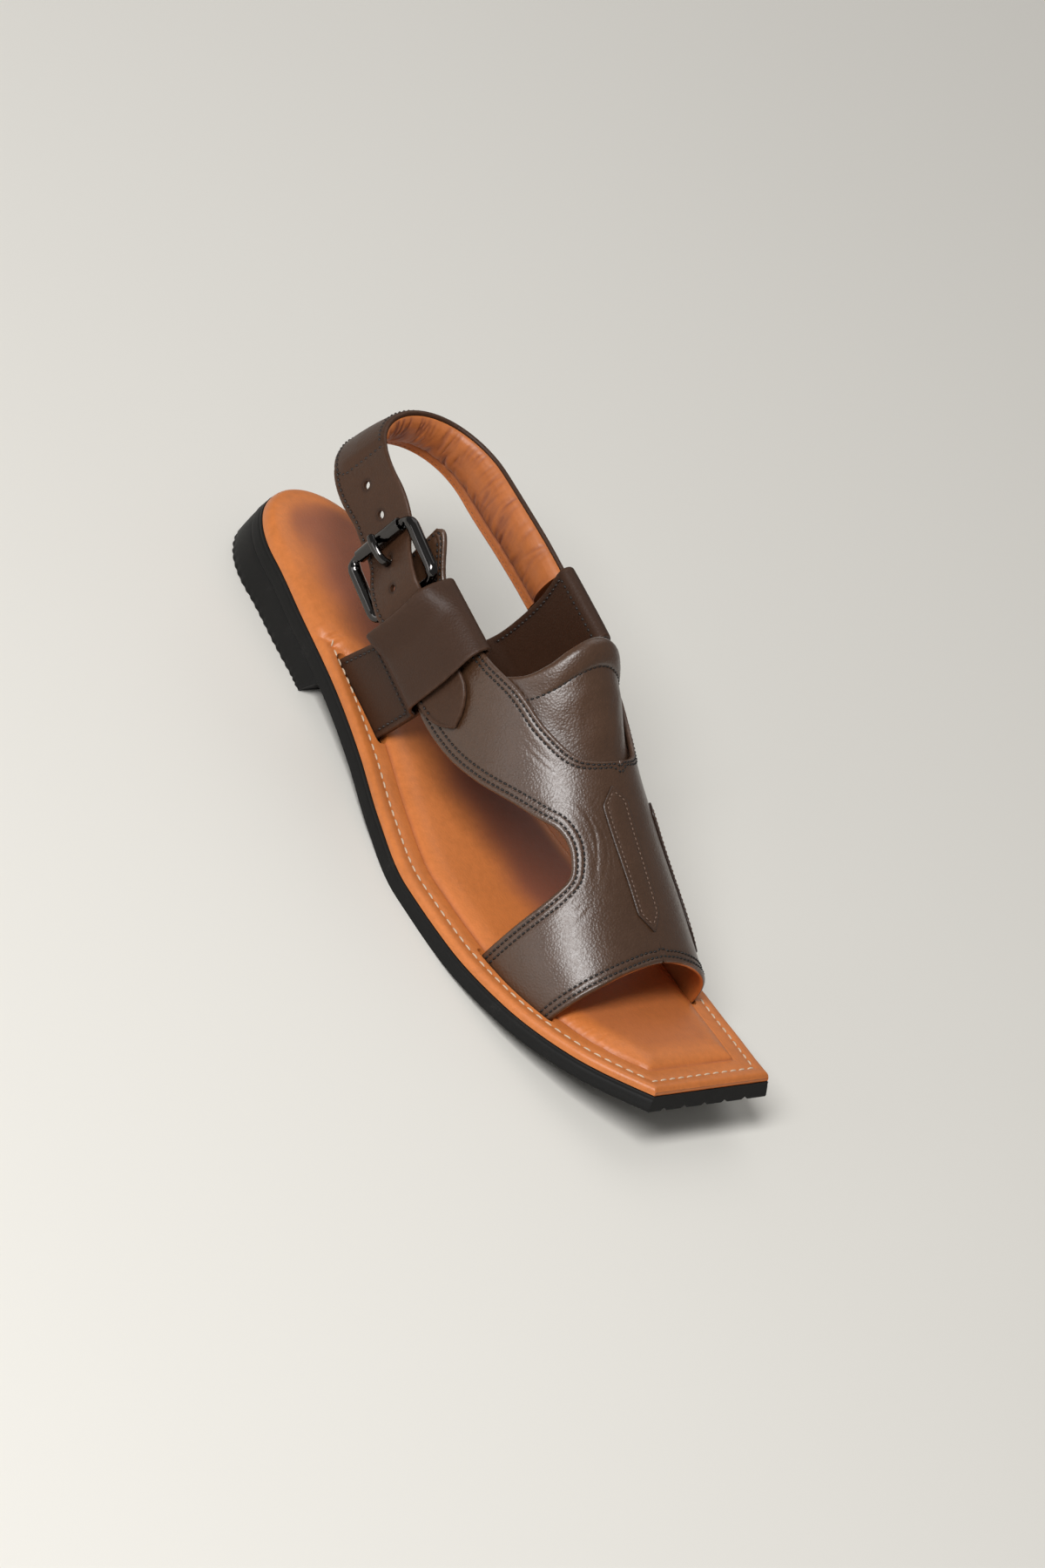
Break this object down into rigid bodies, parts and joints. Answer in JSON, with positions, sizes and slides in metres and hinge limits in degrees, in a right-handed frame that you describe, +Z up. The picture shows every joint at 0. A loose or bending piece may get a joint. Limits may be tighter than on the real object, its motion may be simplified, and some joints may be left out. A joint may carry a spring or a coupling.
{
  "type": "kohati chappal sandal",
  "caption": "Square-toed leather sandal for the right foot: arched vamp band with side wings, tan padded insole, buckled heel strap held by side loops, flat rubber sole with heel.",
  "frame": {"origin": "centre of the bounding box's base, on the floor the sandal stands on", "axes": "+X from heel to toe, +Y to the medial side (the wearer's left), +Z up"},
  "size_m": [0.2922, 0.0968, 0.0994],
  "materials": {
    "brown_leather": "smooth dark brown leather with a slight sheen",
    "tan_leather": "tan lining leather, burnished darker along the heel and arch",
    "black_rubber": "matt moulded rubber",
    "gunmetal": "dark gloss plating"
  },
  "bodies": {
    "root": {"outsole": "black_rubber", "heel_block": "black_rubber", "insole": "tan_leather", "vamp": "brown_leather", "patch_lateral": "brown_leather", "patch_medial": "brown_leather", "tongue": "brown_leather", "loop_lateral": "brown_leather", "loop_medial": "brown_leather", "heel_strap": "brown_leather", "strap_pad": "tan_leather", "buckle_frame": "gunmetal", "buckle_roller": "gunmetal", "buckle_prong": "gunmetal", "buckle_tab": "brown_leather"}
  },
  "joints": []
}
